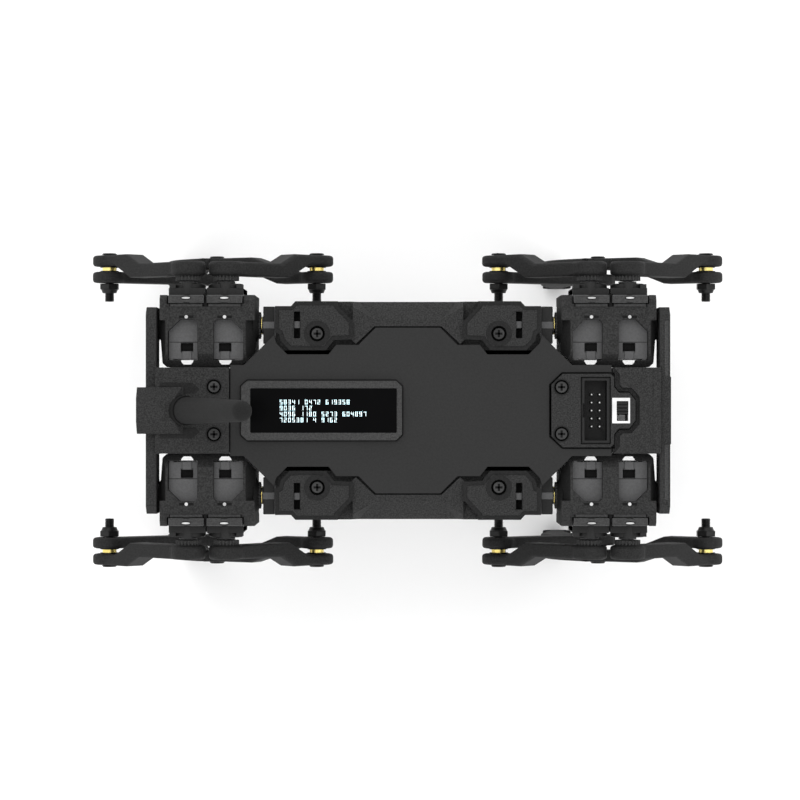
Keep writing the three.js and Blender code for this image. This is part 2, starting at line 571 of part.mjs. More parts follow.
for (const [end, x] of [['front', 1], ['rear', -1]]) {
  for (const [side, y] of [['left', 1], ['right', -1]]) {
    const leg = new THREE.Group();
    leg.position.x = x * LEG_X;
    upright.add(leg);
    const name = (piece) => `${end}_${side}_${piece}`;
    const half = SHAFT_PITCH / 2;
    const kneeZ = KNEE[1];
    const turn = rad(REST_ANGLE);
    place(upright, name('hip_servo'), mirrored(hipServo, x, y), servoPlastic);
    place(leg, name('hip_frame'), mirrored(hipFrame, x, y), nylon);
    place(leg, name('servo_fore'), mirrored(legServo, 1, y), servoPlastic, [half, 0, 0]);
    place(leg, name('servo_aft'), mirrored(legServo, 1, y), servoPlastic, [-half, 0, 0]);
    place(leg, name('crank_fore'), mirrored(crank, 1, y), nylon, [half, 0, 0], turn);
    place(leg, name('crank_aft'), mirrored(crank, 1, y), nylon, [-half, 0, 0], Math.PI - turn);
    place(leg, name('coupler'), mirrored(coupler, 1, y), nylon, [-KNEE[0], 0, kneeZ], LINK_ANGLE);
    place(leg, name('lower_leg'), mirrored(lowerLeg, 1, y), nylon);
    place(leg, name('foot_pad'), mirrored(footPad, 1, y), rubber);
    place(leg, name('knee_bolt_fore'), mirrored(bolt, 1, y), blackSteel, [KNEE[0], 0, kneeZ]);
    place(leg, name('knee_bolt_aft'), mirrored(bolt, 1, y), blackSteel, [-KNEE[0], 0, kneeZ]);
    place(leg, name('pivot_bolt'), mirrored(bolt, 1, y), blackSteel, [PIVOT[0], 0, PIVOT[1]]);
  }
}

export default robot;
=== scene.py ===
"""The looks of a small quadruped walking robot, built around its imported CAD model."""

import json
import math

import bmesh
import bpy
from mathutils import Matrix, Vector
from mathutils.geometry import tessellate_polygon


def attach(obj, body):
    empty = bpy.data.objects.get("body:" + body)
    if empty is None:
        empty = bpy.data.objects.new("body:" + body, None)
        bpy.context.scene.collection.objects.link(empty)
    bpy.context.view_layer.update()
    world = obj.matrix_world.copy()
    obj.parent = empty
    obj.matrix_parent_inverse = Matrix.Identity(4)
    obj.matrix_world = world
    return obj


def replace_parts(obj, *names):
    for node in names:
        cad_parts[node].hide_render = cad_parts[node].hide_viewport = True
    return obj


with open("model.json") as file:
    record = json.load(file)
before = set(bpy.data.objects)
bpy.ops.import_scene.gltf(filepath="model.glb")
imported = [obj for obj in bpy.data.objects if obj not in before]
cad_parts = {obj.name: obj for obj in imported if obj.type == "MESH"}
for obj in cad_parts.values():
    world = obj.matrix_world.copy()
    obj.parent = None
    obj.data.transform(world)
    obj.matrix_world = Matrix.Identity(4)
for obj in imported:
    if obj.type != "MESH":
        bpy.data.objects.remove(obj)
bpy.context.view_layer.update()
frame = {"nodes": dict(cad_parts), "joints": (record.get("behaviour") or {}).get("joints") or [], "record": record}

MM = 0.001
NODES = frame["nodes"]
BODY_OF = {n: b for b, names in frame["record"]["behaviour"]["bodies"].items() for n in names}
SLOT_OF = {s["node"]: s["material_slot"] for s in frame["record"]["subparts"]}
JOINT = {j["name"]: j for j in frame["joints"]}
LEGS = [(end, side) for end in ("front", "rear") for side in ("left", "right")]
HIP = JOINT["front_left_roll"]["pos_m"][2]  # height of the hip axis


def leg_x(end):
    """Where a leg's middle is along the body, in metres."""
    return JOINT[f"{end}_left_roll"]["pos_m"][0]


def sign(side):
    return 1 if side == "left" else -1


# ---- camera, floor and light ----
CAMERA_RISE = 907 * MM  # above the hip axis
CAMERA_XY = (-2.55 * MM, 3.35 * MM)
LENS = 126.8  # focal length in millimetres, on the sensor below
SENSOR = 36
SKY_STRENGTH = 1.3
LIGHT_SIZE = 0.8
KEY_PLACE = (-0.35, 0.6, 1.2)
KEY_POWER = 3
FILL_PLACE = (0.9, -0.5, 0.9)
FILL_POWER = 2
FLOOR_HALF = 3.0
FLOOR_DROP = 0.4 * MM  # keeps the floor clear of the soles
FLOOR_DARK = 0.90
FLOOR_LIGHT = 0.93


def add_camera():
    data = bpy.data.cameras.new("camera")
    data.lens = LENS
    data.sensor_width = SENSOR
    data.clip_start = 0.05
    data.clip_end = 20
    camera = bpy.data.objects.new("camera", data)
    camera.location = (*CAMERA_XY, HIP + CAMERA_RISE)
    bpy.context.scene.collection.objects.link(camera)
    bpy.context.scene.camera = camera


def add_area_light(name, location, power):
    """A round soft light that faces the middle of the robot."""
    data = bpy.data.lights.new(name, "AREA")
    data.shape = "DISK"
    data.size = LIGHT_SIZE
    data.energy = power
    light = bpy.data.objects.new(name, data)
    light.location = location
    direction = Vector((0, 0, HIP)) - Vector(location)
    light.rotation_euler = direction.to_track_quat("-Z", "Y").to_euler()
    bpy.context.scene.collection.objects.link(light)


def add_studio():
    world = bpy.data.worlds.new("studio")
    world.use_nodes = True
    background = world.node_tree.nodes["Background"]
    background.inputs["Color"].default_value = (1, 1, 1, 1)
    background.inputs["Strength"].default_value = SKY_STRENGTH
    bpy.context.scene.world = world
    bpy.context.scene.view_settings.view_transform = "Standard"
    add_area_light("key", KEY_PLACE, KEY_POWER)
    add_area_light("fill", FILL_PLACE, FILL_POWER)


def add_floor():
    mesh = bpy.data.meshes.new("floor")
    half = FLOOR_HALF
    corners = [(-half, -half, 0), (half, -half, 0), (half, half, 0), (-half, half, 0)]
    mesh.from_pydata(corners, [], [(0, 1, 2, 3)])
    floor = bpy.data.objects.new("floor", mesh)
    floor.location.z = -FLOOR_DROP
    material = bpy.data.materials.new("floor")
    material.use_nodes = True
    nodes = material.node_tree.nodes
    links = material.node_tree.links
    shader = nodes["Principled BSDF"]
    noise = nodes.new("ShaderNodeTexNoise")
    noise.inputs["Scale"].default_value = 3
    ramp = nodes.new("ShaderNodeValToRGB")
    ramp.color_ramp.elements[0].color = (FLOOR_DARK, FLOOR_DARK, FLOOR_DARK, 1)
    ramp.color_ramp.elements[1].color = (FLOOR_LIGHT, FLOOR_LIGHT, FLOOR_LIGHT, 1)
    links.new(noise.outputs["Fac"], ramp.inputs["Fac"])
    links.new(ramp.outputs["Color"], shader.inputs["Base Color"])
    shader.inputs["Roughness"].default_value = 0.9
    mesh.materials.append(material)
    bpy.context.scene.collection.objects.link(floor)


# ---- materials ----
NOISE_LOW = 0.25  # the range that noise mostly keeps to
NOISE_HIGH = 0.75


class Surface:
    """A material under construction: shorthand for its nodes and links."""

    def __init__(self, name, roughness, metallic=0.0, specular=0.3):
        self.material = bpy.data.materials.new(name)
        self.material.use_nodes = True
        self.tree = self.material.node_tree
        self.shader = self.tree.nodes["Principled BSDF"]
        self.shader.inputs["Roughness"].default_value = roughness
        self.shader.inputs["Metallic"].default_value = metallic
        self.shader.inputs["Specular IOR Level"].default_value = specular
        self.place = self.tree.nodes.new("ShaderNodeTexCoord").outputs["Object"]

    def node(self, kind, **values):
        node = self.tree.nodes.new(kind)
        for key, value in values.items():
            node.inputs[key].default_value = value
        return node

    def link(self, source, target):
        self.tree.links.new(source, target)

    def noise(self, scale, detail=2.0, roughness=0.5):
        node = self.node("ShaderNodeTexNoise", Scale=scale, Detail=detail, Roughness=roughness)
        self.link(self.place, node.inputs["Vector"])
        return node.outputs["Fac"]

    def stretched_noise(self, scale, stretch):
        mapping = self.node("ShaderNodeMapping", Scale=stretch)
        self.link(self.place, mapping.inputs["Vector"])
        node = self.node("ShaderNodeTexNoise", Scale=scale, Detail=3.0)
        self.link(mapping.outputs["Vector"], node.inputs["Vector"])
        return node.outputs["Fac"]

    def ramp(self, factor, low, high):
        """A colour ramp between two (position, colour) stops."""
        node = self.tree.nodes.new("ShaderNodeValToRGB")
        for element, (position, colour) in zip(node.color_ramp.elements, (low, high)):
            element.position = position
            element.color = (*colour, 1)
        self.link(factor, node.inputs["Fac"])
        return node.outputs["Color"]

    def spread(self, factor, low, high):
        """Stretches noise over a range of values."""
        node = self.node("ShaderNodeMapRange")
        node.inputs["From Min"].default_value = NOISE_LOW
        node.inputs["From Max"].default_value = NOISE_HIGH
        node.inputs["To Min"].default_value = low
        node.inputs["To Max"].default_value = high
        self.link(factor, node.inputs["Value"])
        return node.outputs["Result"]

    def bump(self, heights, distance, strength=1.0):
        """Bump from one or more heights, each a (factor, share) pair."""
        total = None
        for factor, share in heights:
            part = self.node("ShaderNodeMath")
            part.operation = "MULTIPLY"
            self.link(factor, part.inputs[0])
            part.inputs[1].default_value = share
            if total is None:
                total = part.outputs[0]
            else:
                add = self.node("ShaderNodeMath")
                add.operation = "ADD"
                self.link(total, add.inputs[0])
                self.link(part.outputs[0], add.inputs[1])
                total = add.outputs[0]
        bump = self.node("ShaderNodeBump", Strength=strength, Distance=distance)
        self.link(total, bump.inputs["Height"])
        self.link(bump.outputs["Normal"], self.shader.inputs["Normal"])


def grey(value):
    return (value, value, value)


def tinted(value, tint):
    return tuple(value * t for t in tint)


GRAIN_LOW = 0.38  # where the grain's noise reaches its dark and its light tone
GRAIN_HIGH = 0.62
CLOUD_SCALE = 45
CLOUD_DARK = 0.86  # share of the tone that is left in the darkest cloud


def grained_plastic(name, dark, light, roughness, grain, distance, tint=(1, 1, 1)):
    """Moulded or printed plastic: a fine grain in its colour and height, and broad cloudiness."""
    s = Surface(name, roughness)
    fine = s.noise(grain, 3.0, 0.7)
    broad = s.noise(CLOUD_SCALE, 3.0)
    colour = s.ramp(fine, (GRAIN_LOW, tinted(dark, tint)), (GRAIN_HIGH, tinted(light, tint)))
    cloud = s.node("ShaderNodeMix")
    cloud.data_type = "RGBA"
    cloud.blend_type = "MULTIPLY"
    cloud.inputs["Factor"].default_value = 1.0
    s.link(colour, cloud.inputs["A"])
    s.link(s.ramp(broad, (0.3, grey(CLOUD_DARK)), (0.7, grey(1.0))), cloud.inputs["B"])
    s.link(cloud.outputs["Result"], s.shader.inputs["Base Color"])
    s.link(s.spread(broad, roughness - 0.07, roughness + 0.05), s.shader.inputs["Roughness"])
    s.bump([(fine, 1.0), (s.noise(grain * 0.35), 0.8)], distance)
    return s.material


TOOL_MARKS = 600
TOOL_MARK_STRETCH = (1, 1, 12)


def metal(name, colour, dark, roughness):
    """Turned or pressed metal with fine tool marks and slight tarnish."""
    s = Surface(name, roughness, 1.0)
    marks = s.stretched_noise(TOOL_MARKS, TOOL_MARK_STRETCH)
    tarnish = s.noise(160, 4.0)
    s.link(s.ramp(tarnish, (0.35, dark), (0.62, colour)), s.shader.inputs["Base Color"])
    s.link(s.spread(marks, roughness - 0.08, roughness + 0.12), s.shader.inputs["Roughness"])
    s.bump([(marks, 1.0)], 0.00002, 0.6)
    return s.material


def circuit_board():
    """Solder mask over faint copper tracks."""
    s = Surface("circuit_board", 0.4)
    bricks = s.node("ShaderNodeTexBrick", Scale=260)
    bricks.inputs["Color1"].default_value = (0.008, 0.05, 0.028, 1)
    bricks.inputs["Color2"].default_value = (0.006, 0.038, 0.022, 1)
    bricks.inputs["Mortar"].default_value = (0.02, 0.11, 0.06, 1)
    bricks.inputs["Mortar Size"].default_value = 0.04
    s.link(s.place, bricks.inputs["Vector"])
    s.link(bricks.outputs["Color"], s.shader.inputs["Base Color"])
    s.bump([(bricks.outputs["Fac"], 1.0), (s.noise(900), 0.3)], 0.00003)
    return s.material


def glow(name, colour, strength):
    """A lit surface that varies slightly in brightness."""
    s = Surface(name, 0.4)
    noise = s.noise(2500, 1.0)
    lit = s.ramp(noise, (0.3, tinted(0.85, colour)), (0.7, colour))
    s.link(lit, s.shader.inputs["Emission Color"])
    s.shader.inputs["Base Color"].default_value = (*colour, 1)
    s.shader.inputs["Emission Strength"].default_value = strength
    return s.material


def gloss(name, colour, roughness, smudge, specular=0.3):
    """Smooth glass or polished plastic with faint smudges in its gloss."""
    s = Surface(name, roughness, specular=specular)
    noise = s.noise(120, 4.0)
    s.link(s.ramp(noise, (0.3, tinted(0.7, colour)), (0.7, colour)), s.shader.inputs["Base Color"])
    s.link(s.spread(noise, roughness, roughness + smudge), s.shader.inputs["Roughness"])
    s.bump([(noise, 1.0)], 0.000004)
    return s.material


# Plastic: dark and light tone, roughness, grain scale and grain height in metres.
# Metal: colour, tarnished colour and roughness. Gloss: colour, roughness and how much smudges add.
MATERIALS = {
    "nylon": grained_plastic("nylon", 0.007, 0.032, 0.85, 2300, 0.00009),
    # A darker copy of nylon for the arms and the battery cover: painted shade on parts that lie lower
    "nylon_shade": grained_plastic("nylon_shade", 0.004, 0.018, 0.8, 2300, 0.00008),
    # The darkest copy of nylon: painted shade on slopes, edgings, bands and rings
    "nylon_deep_shade": grained_plastic("nylon_deep_shade", 0.004, 0.012, 0.85, 2300, 0.00008),
    # A lighter copy of nylon: painted light on raised strips, ribs and the display bezel
    "nylon_lit": grained_plastic("nylon_lit", 0.022, 0.05, 0.8, 2300, 0.00006),
    # Near-black nylon: painted shade in slots, seams, holes, crosses and vents, and painted shadow at screw seats
    # and the aerial's foot
    "recess_shade": grained_plastic("recess_shade", 0.001, 0.003, 0.95, 2000, 0.00002),
    "smooth_plastic": grained_plastic("smooth_plastic", 0.008, 0.0115, 0.6, 1500, 0.000015),
    "servo_case": grained_plastic("servo_case", 0.072, 0.09, 0.5, 1800, 0.00002, (1, 1, 1.02)),
    "black_steel": metal("black_steel", grey(0.035), grey(0.018), 0.42),
    "rubber": grained_plastic("rubber", 0.005, 0.010, 0.88, 2200, 0.00004),
    "display_glass": gloss("display_glass", (0.0008, 0.0008, 0.001), 0.15, 0.12, 0.04),
    "circuit_board": circuit_board(),
    "cell_wrap": gloss("cell_wrap", (0.02, 0.07, 0.16), 0.3, 0.15),
    "black_plastic": grained_plastic("black_plastic", 0.004, 0.008, 0.6, 2000, 0.00002),
    "brass": metal("brass", (1.0, 0.84, 0.30), (0.86, 0.66, 0.20), 0.3),
    "bright_steel": metal("bright_steel", grey(0.6), grey(0.4), 0.3),
    "dark_screw": metal("dark_screw", grey(0.06), grey(0.04), 0.45),
    "white_plastic": gloss("white_plastic", (0.8, 0.8, 0.8), 0.35, 0.1),
    "pixel": glow("pixel", (0.80, 0.97, 1.0), 1.3),
}


# ---- mesh helpers ----
SHARP_EDGE = math.radians(35)
BEVEL_OVER = math.radians(30)
FLAT_SKIN = math.radians(1.5)  # faces within this angle are merged in a skin
FLAT_PIECE = math.radians(1)
MERGE_DISTANCE = 0.002 * MM
SLIVER_AREA = 0.4 * MM ** 2
SKIN_SEGMENTS = 3  # steps in each rounded edge of a CAD node


def link_object(name, mesh):
    piece = bpy.data.objects.new(name, mesh)
    bpy.context.scene.collection.objects.link(piece)
    return piece


def finish_piece(piece, body, material, replaces=()):
    piece.data.materials.clear()
    piece.data.materials.append(MATERIALS[material])
    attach(piece, body)
    if replaces:
        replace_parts(piece, *replaces)
    return piece


def shade(mesh):
    """Smooth shading, with the sharper edges kept sharp."""
    bm = bmesh.new()
    bm.from_mesh(mesh)
    for face in bm.faces:
        face.smooth = True
    for edge in bm.edges:
        edge.smooth = len(edge.link_faces) == 2 and edge.calc_face_angle(0) < SHARP_EDGE
    bm.to_mesh(mesh)
    bm.free()


def apply_modifiers(piece):
    """Replaces the piece's mesh with its evaluated one and drops its modifiers."""
    bpy.context.view_layer.update()
    graph = bpy.context.evaluated_depsgraph_get()
    shaped = piece.evaluated_get(graph)
    mesh = bpy.data.meshes.new_from_object(shaped, preserve_all_data_layers=True, depsgraph=graph)
    piece.modifiers.clear()
    piece.data = mesh


def round_edges(piece, width, segments, clamp=True):
    """Rounds every edge over an angle, and shades the flats flat."""
    modifier = piece.modifiers.new("bevel", "BEVEL")
    modifier.width = width
    modifier.segments = segments
    modifier.limit_method = "ANGLE"
    modifier.angle_limit = BEVEL_OVER
    modifier.use_clamp_overlap = clamp
    modifier.miter_outer = "MITER_ARC"
    weighted = piece.modifiers.new("flat_faces", "WEIGHTED_NORMAL")
    weighted.keep_sharp = True
    weighted.weight = 90
    apply_modifiers(piece)


def clean_copy(node):
    """A CAD node's mesh with its triangles merged back into flat faces."""
    bm = bmesh.new()
    bm.from_mesh(NODES[node].data)
    bmesh.ops.remove_doubles(bm, verts=bm.verts, dist=MERGE_DISTANCE)
    bmesh.ops.dissolve_limit(bm, angle_limit=FLAT_SKIN, verts=bm.verts, edges=bm.edges)
    bmesh.ops.connect_verts_concave(bm, faces=bm.faces)
    mesh = bpy.data.meshes.new(node + "_skin")
    bm.to_mesh(mesh)
    bm.free()
    shade(mesh)
    return mesh


def paint_slope_shade(piece):
    """Paints shade on a hip frame's faces that lean fore or aft, in the darkest copy of nylon, leaving out
    slivers.
    """
    piece.data.materials.append(MATERIALS["nylon_deep_shade"])
    for face in piece.data.polygons:
        if face.area > SLIVER_AREA and face.normal.z < 0.85 and abs(face.normal.x) > 0.4:
            face.material_index = 1


def refine(node):
    """Stands a copy of a CAD node with rounded edges in the node's place."""
    kind = kind_of(node)
    piece = link_object(node + "_skin", clean_copy(node))
    round_edges(piece, EDGE[kind] * MM, SKIN_SEGMENTS, clamp=kind not in ARMS)
    return finish_piece(piece, BODY_OF[node], material_of(node), [node])


# A direction along each axis, with the two that cross it.
CROSSING = {
    "x": (Vector((1, 0, 0)), Vector((0, 1, 0)), Vector((0, 0, 1))),
    "y": (Vector((0, 1, 0)), Vector((1, 0, 0)), Vector((0, 0, 1))),
    "z": (Vector((0, 0, 1)), Vector((1, 0, 0)), Vector((0, 1, 0))),
}
BOTH = (1, -1)
CORNERS = [(x, y) for x in BOTH for y in BOTH]


def span(middle, half):
    return (middle - half, middle + half)


def rectangle(x, y):
    """The outline of a rectangle, from its two spans."""
    return [(x[0], y[0]), (x[1], y[0]), (x[1], y[1]), (x[0], y[1])]


def turns(count):
    """Equal steps round a full turn."""
    return [2 * math.pi * i / count for i in range(count)]


def oval(a, b, half_a, half_b, sides=24):
    return [(a + half_a * math.cos(t), b + half_b * math.sin(t)) for t in turns(sides)]


def circle(a, b, radius, sides=24):
    return oval(a, b, radius, radius, sides)


def cogged(a, b, root, tip, teeth=22):
    """A round outline with square teeth."""
    points = []
    for i, turn in enumerate(turns(teeth * 4)):
        radius = tip if i % 4 < 2 else root
        points.append((a + radius * math.cos(turn), b + radius * math.sin(turn)))
    return points


def in_space(axis, level, a, b):
    """A point at a level along an axis, from its other two coordinates."""
    return {"x": (level, a, b), "y": (a, level, b), "z": (a, b, level)}[axis]


class Cluster:
    """Small solids of one material on one body, in millimetres, with z counted from the hip axis."""

    def __init__(self, name, body, material, slot=None, origin=0.0, flip=(1, 1)):
        self.name = name
        self.body = body
        self.material = material
        self.slot = slot
        self.origin = origin
        self.flip = flip
        self.bm = bmesh.new()

    def point(self, x, y, z):
        along = self.origin + self.flip[0] * x
        return self.bm.verts.new((along * MM, self.flip[1] * y * MM, z * MM + HIP))

    def box(self, x, y, z):
        self.prism("z", rectangle(x, y), z)

    def prism(self, axis, outline, levels, holes=()):
        """A prism along an axis; its outline is in (y, z), (x, z) or (x, y)."""
        loops = [list(outline), *[list(hole) for hole in holes]]
        flat = [point for loop in loops for point in loop]
        triangles = tessellate_polygon([[Vector((a, b, 0)) for a, b in loop] for loop in loops])
        layers = []
        for level in levels:
            layers.append([self.point(*in_space(axis, level, a, b)) for a, b in flat])
        for layer in layers:
            for triangle in triangles:
                self.bm.faces.new([layer[i] for i in triangle])
        low, high = layers
        start = 0
        for loop in loops:
            count = len(loop)
            for i in range(count):
                j = start + (i + 1) % count
                i += start
                self.bm.faces.new([low[i], low[j], high[j], high[i]])
            start += count

    def turned(self, centre, direction, profile, sides=24, hollow=False):
        """A solid of revolution; the profile is (radius, distance) along the direction from the centre."""
        along, across, other = CROSSING[direction] if isinstance(direction, str) else direction
        rings = []
        for radius, distance in profile:
            middle = Vector(centre) + along * distance
            if radius == 0:
                rings.append([self.point(*middle)])
                continue
            ring = []
            for t in turns(sides):
                spot = middle + across * radius * math.cos(t) + other * radius * math.sin(t)
                ring.append(self.point(*spot))
            rings.append(ring)
        pairs = list(zip(rings, rings[1:]))
        if hollow:
            pairs.append((rings[-1], rings[0]))
        for near, far in pairs:
            for i in range(sides):
                j = (i + 1) % sides
                corners = [near[i % len(near)], near[j % len(near)], far[j % len(far)], far[i % len(far)]]
                self.bm.faces.new(list(dict.fromkeys(corners)))

    def ring(self, centre, direction, levels, inner, outer, sides=24):
        profile = [(inner, levels[0]), (outer, levels[0]), (outer, levels[1]), (inner, levels[1])]
        self.turned(centre, direction, profile, sides, hollow=True)

    def cross(self, axis, centre, level, reach, half_width=0.35, half_depth=0.04):
        """The cross of a screw's head, drawn on a face of the head; in a dark material it paints the shade of the
        cross-shaped hollow.
        """
        a, b = centre
        for half_a, half_b in ((reach, half_width), (half_width, reach)):
            self.prism(axis, rectangle(span(a, half_a), span(b, half_b)), span(level, half_depth))

    def done(self, bevel=0.0, segments=2):
        """Makes the piece, with its edges rounded if a bevel is given."""
        bm = self.bm
        bmesh.ops.recalc_face_normals(bm, faces=bm.faces)
        if bevel:
            bmesh.ops.dissolve_limit(bm, angle_limit=FLAT_PIECE, verts=bm.verts, edges=bm.edges)
            bmesh.ops.connect_verts_concave(bm, faces=bm.faces)
        mesh = bpy.data.meshes.new(self.name)
        bm.to_mesh(mesh)
        bm.free()
        shade(mesh)
        piece = link_object(self.name, mesh)
        if bevel:
            round_edges(piece, bevel * MM, segments)
        return finish_piece(piece, self.body, self.material)


# ---- the CAD nodes ----
ARMS = ("crank_fore", "crank_aft", "coupler", "lower_leg")
# How far each kind of node's edges are rounded, in millimetres.
EDGE = {
    "chassis": 0.35, "top_plate": 0.3, "rear_end_piece": 0.35, "front_end_piece": 0.35,
    "connector_cover": 0.3, "expansion_header": 0.12, "power_switch": 0.15, "switch_slider": 0.15,
    "main_board": 0.1, "battery_pack": 0.3, "aerial": 0.3, "hip_servo": 0.25, "hip_frame": 0.45,
    "servo_fore": 0.25, "servo_aft": 0.25, "crank_fore": 1.0, "crank_aft": 1.0, "coupler": 1.0,
    "lower_leg": 1.0, "foot_pad": 0.5, "knee_bolt_fore": 0.2, "knee_bolt_aft": 0.2, "pivot_bolt": 0.2,
}


def kind_of(node):
    """A node's name without its leg."""
    for end, side in LEGS:
        prefix = f"{end}_{side}_"
        if node.startswith(prefix):
            return node[len(prefix):]
    return node


def material_of(node):
    if kind_of(node) in ARMS:
        # the arms take the darker copy of nylon, which paints their shade
        return "nylon_shade"
    if node == "switch_slider":
        return "black_plastic"
    return SLOT_OF[node]


# ---- details on the body, in millimetres ----
POD_SCREW = (28.9, 24.45)
REAR_SCREW = (61.7, 7.55)
FRONT_SCREW = (48.8, 7.45)
POD_TOP = 11.5
POD_SLOT = rectangle((34.3, 36.3), (23, 31.5))
POD_CAP = [
    (41.0, 31.9), (36.7, 31.9), (35.3, 33.4), (23.6, 33.4), (23.6, 32.8), (18.8, 27.8), (18.8, 23.9),
    (24.2, 23.7), (26.7, 20.5), (37.1, 20.5), (39.2, 22.7), (39.9, 25.4), (41.0, 25.9),
]
POD_SHADE_BORDER = [
    (42.3, 33.2), (37.2, 33.2), (35.8, 34.75), (22.3, 34.75), (22.3, 33.3), (17.5, 28.3), (17.5, 22.7),
    (23.6, 22.4), (26.1, 19.2), (37.7, 19.2), (40.4, 22.1), (41, 24.3), (42.3, 24.8),
]


def add_pods():
    """A raised, slotted cap on each servo pod, inside an edging of painted shade, with a ring of painted shade
    round its screw and a dark sheet of painted shade on its slot's floor.
    """
    for x, y in CORNERS:
        name = f"pod_{x}_{y}"
        seat = circle(*POD_SCREW, 2.5)
        cap = Cluster(name + "_cap", "body", "nylon", "nylon", flip=(x, y))
        cap.prism("z", POD_CAP, (POD_TOP - 0.2, POD_TOP + 0.35), [POD_SLOT, seat])
        cap.done(0.25)
        # an edging of painted shade round the cap
        shade_border = Cluster(name + "_border", "body", "nylon_deep_shade", "nylon", flip=(x, y))
        shade_border.prism("z", POD_SHADE_BORDER, (POD_TOP - 0.1, POD_TOP + 0.05), [POD_SLOT, seat])
        shade_border.done()
        # a ring of painted shade round the screw's seat
        shade_collar = Cluster(name + "_collar", "body", "nylon_deep_shade", "nylon", flip=(x, y))
        shade_collar.ring((*POD_SCREW, 0), "z", (POD_TOP + 0.3, POD_TOP + 0.5), 2.5, 4.1, 32)
        shade_collar.done(0.08)
        # a dark sheet on the slot's floor: painted shade
        floor = Cluster(name + "_slot_shade", "body", "recess_shade", flip=(x, y))
        floor.box((34.35, 36.25), (23.05, 31.45), (8.1, 8.3))
        floor.done()


HEAD_RADIUS = 2.05
HEAD_HEIGHT = 1.25


def add_deck_screws():
    """Countersunk heads in the pods and the two end covers, each with a painted shadow round its seat and a cross
    of painted shade on its head.
    """
    heads = Cluster("deck_screws", "body", "dark_screw")
    recess_shades = Cluster("deck_screw_cross_shades", "body", "recess_shade")
    shadows = Cluster("deck_screw_seat_shadows", "body", "recess_shade")
    places = [(x * POD_SCREW[0], y * POD_SCREW[1], 9.6) for x, y in CORNERS]
    places += [(-REAR_SCREW[0], y * REAR_SCREW[1], 10.3) for y in BOTH]
    places += [(FRONT_SCREW[0], y * FRONT_SCREW[1], 10.6) for y in BOTH]
    for x, y, base in places:
        top = base + HEAD_HEIGHT
        profile = [(0, base), (HEAD_RADIUS, base), (HEAD_RADIUS, top - 0.5), (1.75, top), (0, top)]
        heads.turned((x, y, 0), "z", profile)
        # a dark cross on the head paints the shade of its cross-shaped hollow
        recess_shades.cross("z", (x, y), top, 1.15)
        shadows.ring((x, y, 0), "z", (base - 0.1, base + 0.1), 2.0, 2.45)
    heads.done()
    recess_shades.done()
    shadows.done()


HEADER_X = 59.65
HEADER_PITCH = 2.54
PIN_HALF = 0.22


def add_connector_details():
    """The header's pin tips and a line of painted shade round it, and the switch's pale frame and a white sheet on
    the floor of its well, whose colour paints the light there.
    """
    tips = Cluster("pin_tips", "body", "bright_steel")
    for x in BOTH:
        for i in range(-2, 3):
            place = (HEADER_X + x * HEADER_PITCH / 2, i * HEADER_PITCH)
            tips.box(span(place[0], PIN_HALF), span(place[1], PIN_HALF), (10.7, 10.95))
    tips.done(0.06)
    # a dark line of painted shade round the header
    rim_shade = Cluster("header_rim_shade", "body", "nylon_deep_shade")
    outer = rectangle((55.15, 64.15), (-10.45, 10.45))
    inner = rectangle((55.5, 63.8), (-10.1, 10.1))
    rim_shade.prism("z", outer, (11.3, 11.56), [inner])
    rim_shade.done(0.05)
    liner = Cluster("switch_liner", "body", "white_plastic")
    outside = rectangle((64.85, 70.55), (-4.05, 4.05))
    inside = rectangle((66.3, 70.0), (-3.35, 3.0))
    liner.prism("z", outside, (8.4, 11.86), [inside])
    liner.done(0.08)
    # a white sheet on the floor of the switch's well: its colour paints light into the deep, narrow well
    track = Cluster("switch_well_lit_floor", "body", "white_plastic")
    track.box((66.7, 69.4), (-4.0, -1.0), (6.02, 6.2))
    track.done()


# The bars of a seven-segment digit: a at the top, then clockwise to f, with g in the middle.
DIGIT = {
    "0": "abcdef", "1": "bc", "2": "abged", "3": "abgcd", "4": "fgbc",
    "5": "afgcd", "6": "afgedc", "7": "abc", "8": "abcdefg", "9": "abcdfg",
}
ROWS = [  # each row's digits, with the y of its middle
    ("58341 0472 619358", 2.7),
    ("9036 172", 0.8),
    ("4096 1180 5273 604897", -1.1),
    ("7205381 4 9162", -3.0),
]
DIGIT_WIDTH = 0.76
DIGIT_HALF = 0.68  # half of a digit's height
DIGIT_STROKE = 0.12
DIGIT_PITCH = 1.33
DIGITS_LEFT = -40.7


def digit_bars(x, y):
    """The spans of each bar of a digit that starts at x, with its middle at y."""
    wide = (x, x + DIGIT_WIDTH)
    left = (x, x + DIGIT_STROKE)
    right = (x + DIGIT_WIDTH - DIGIT_STROKE, x + DIGIT_WIDTH)
    upper = (y, y + DIGIT_HALF)
    lower = (y - DIGIT_HALF, y)
    return {
        "a": (wide, (y + DIGIT_HALF - DIGIT_STROKE, y + DIGIT_HALF)),
        "g": (wide, (y - DIGIT_STROKE / 2, y + DIGIT_STROKE / 2)),
        "d": (wide, (y - DIGIT_HALF, y - DIGIT_HALF + DIGIT_STROKE)),
        "f": (left, upper),
        "b": (right, upper),
        "e": (left, lower),
        "c": (right, lower),
    }


